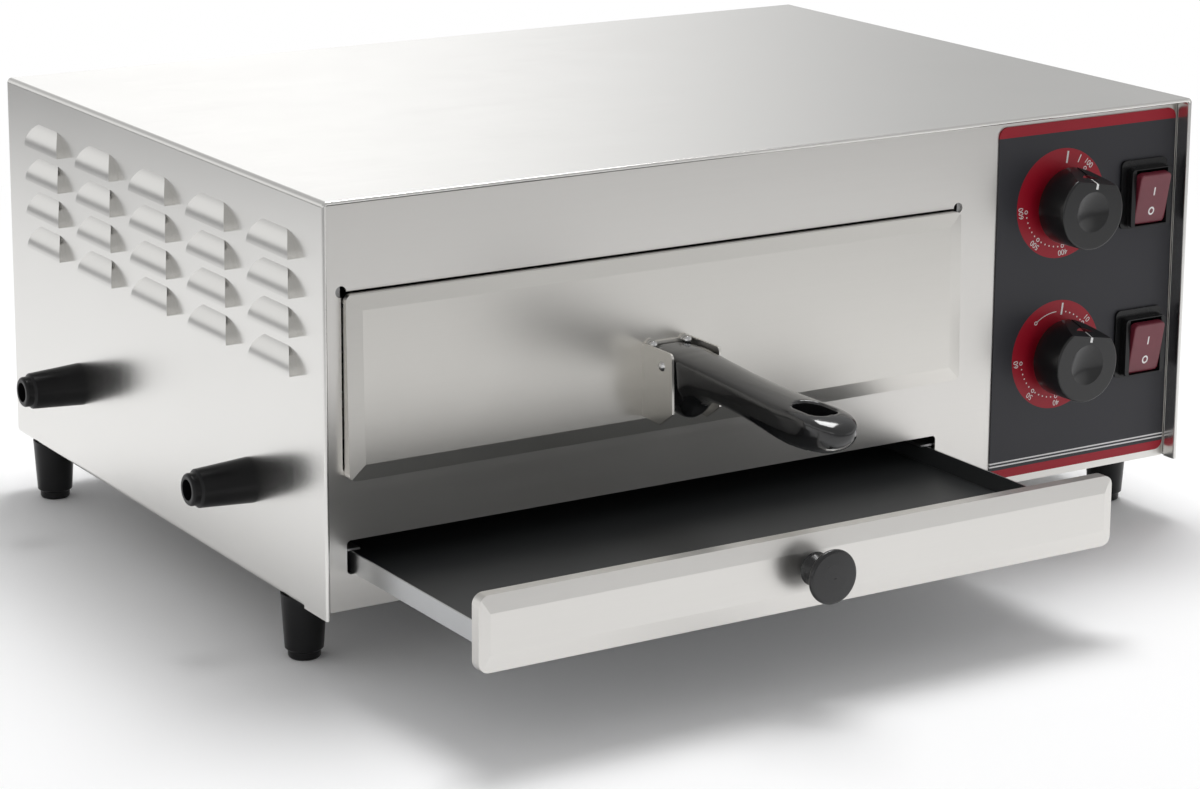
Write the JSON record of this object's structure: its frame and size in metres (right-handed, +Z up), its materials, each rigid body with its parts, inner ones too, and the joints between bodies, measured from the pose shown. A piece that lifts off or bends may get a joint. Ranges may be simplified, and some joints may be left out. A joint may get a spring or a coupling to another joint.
{
  "type": "countertop_pizza_oven",
  "caption": "Countertop electric deck oven in brushed steel with a lift-up flap door and long black handle, a pull-out crumb tray, two dials and two red rocker switches",
  "frame": {"origin": "bottom centre of the whole part as pictured: half way between its outermost points in X and Y, on the plane its feet stand on", "axes": "+X to the right as seen from the front, +Y from the door to the back panel, +Z up; the door, handle and controls face -Y"},
  "size_m": [0.5358, 0.5024, 0.2235],
  "materials": {
    "brushed_steel": "fine horizontal brushed grain, satin",
    "aluminised_steel": "dull mill finish with a faint bluish cast",
    "rod_steel": "plated, bright",
    "element_sheath": "heat-darkened matte sheath",
    "label_film": "charcoal printed film, satin",
    "ceramic": "off-white fired ceramic look, matte",
    "control_plastic": "moulded thermoset, matte",
    "copper": "drawn tube, slightly dulled",
    "black_plastic": "semi-gloss moulded black",
    "rubber": "matte black moulded feet",
    "red_lens": "deep red translucent-looking gloss"
  },
  "bodies": {
    "oven_body": {"outer_wrapper": "brushed_steel", "back_panel": "brushed_steel", "front_panel": "brushed_steel", "base_pan": "aluminised_steel", "oven_chamber": "aluminised_steel", "heat_shield": "aluminised_steel", "hinge_lug_left": "aluminised_steel", "hinge_lug_right": "aluminised_steel", "tray_rail_left": "aluminised_steel", "tray_rail_right": "aluminised_steel", "rack_ledge_left": "aluminised_steel", "rack_ledge_right": "aluminised_steel", "upper_element_hangers": "aluminised_steel", "lower_element_stands": "aluminised_steel", "wire_rack": "rod_steel", "back_panel_screws": "rod_steel", "foot_screws": "rod_steel", "bumper_screws": "rod_steel", "upper_element": "element_sheath", "lower_element": "element_sheath", "control_label": "label_film", "element_bushings": "ceramic", "terminal_block": "ceramic", "thermostat_body": "control_plastic", "timer_body": "control_plastic", "thermostat_bulb": "copper", "upper_switch_housing": "black_plastic", "lower_switch_housing": "black_plastic", "cord_bushing": "black_plastic", "foot_front_left": "rubber", "foot_front_right": "rubber", "foot_rear_left": "rubber", "foot_rear_right": "rubber", "side_bumper_front": "rubber", "side_bumper_rear": "rubber"},
    "door": {"door_skin": "brushed_steel", "door_liner": "aluminised_steel", "hinge_pins": "rod_steel", "handle_bracket": "brushed_steel", "handle": "black_plastic", "handle_rivet": "rod_steel", "bracket_rivets": "rod_steel"},
    "crumb_tray": {"crumb_tray_pan": "aluminised_steel", "crumb_tray_front": "brushed_steel", "tray_knob": "black_plastic", "tray_knob_screw": "rod_steel"},
    "temperature_knob": {"temperature_knob": "black_plastic", "thermostat_shaft": "rod_steel"},
    "timer_knob": {"timer_knob": "black_plastic", "timer_shaft": "rod_steel"},
    "upper_rocker": {"upper_rocker": "red_lens"},
    "lower_rocker": {"lower_rocker": "red_lens"}
  },
  "joints": [
    {"name": "door_hinge", "type": "hinge", "parent": "oven_body", "child": "door", "pos_m": [-0.0505, -0.1015, 0.1733], "axis": [-1, 0, 0], "range_deg": [0, 100]},
    {"name": "crumb_tray_slide", "type": "slide", "parent": "oven_body", "child": "crumb_tray", "axis": [0, -1, 0], "range_m": [-0.122, 0.09]},
    {"name": "temperature_knob_turn", "type": "hinge", "parent": "oven_body", "child": "temperature_knob", "pos_m": [0.18655, -0.1108, 0.1751], "axis": [0, 1, 0], "range_deg": [0, 300]},
    {"name": "timer_knob_turn", "type": "hinge", "parent": "oven_body", "child": "timer_knob", "pos_m": [0.18655, -0.1108, 0.0963], "axis": [0, 1, 0], "range_deg": [0, 300]},
    {"name": "upper_rocker_tilt", "type": "hinge", "parent": "oven_body", "child": "upper_rocker", "pos_m": [0.24155, -0.1038, 0.1735], "axis": [-1, 0, 0], "range_deg": [0, 22]},
    {"name": "lower_rocker_tilt", "type": "hinge", "parent": "oven_body", "child": "lower_rocker", "pos_m": [0.24155, -0.1038, 0.0947], "axis": [-1, 0, 0], "range_deg": [0, 22]}
  ]
}
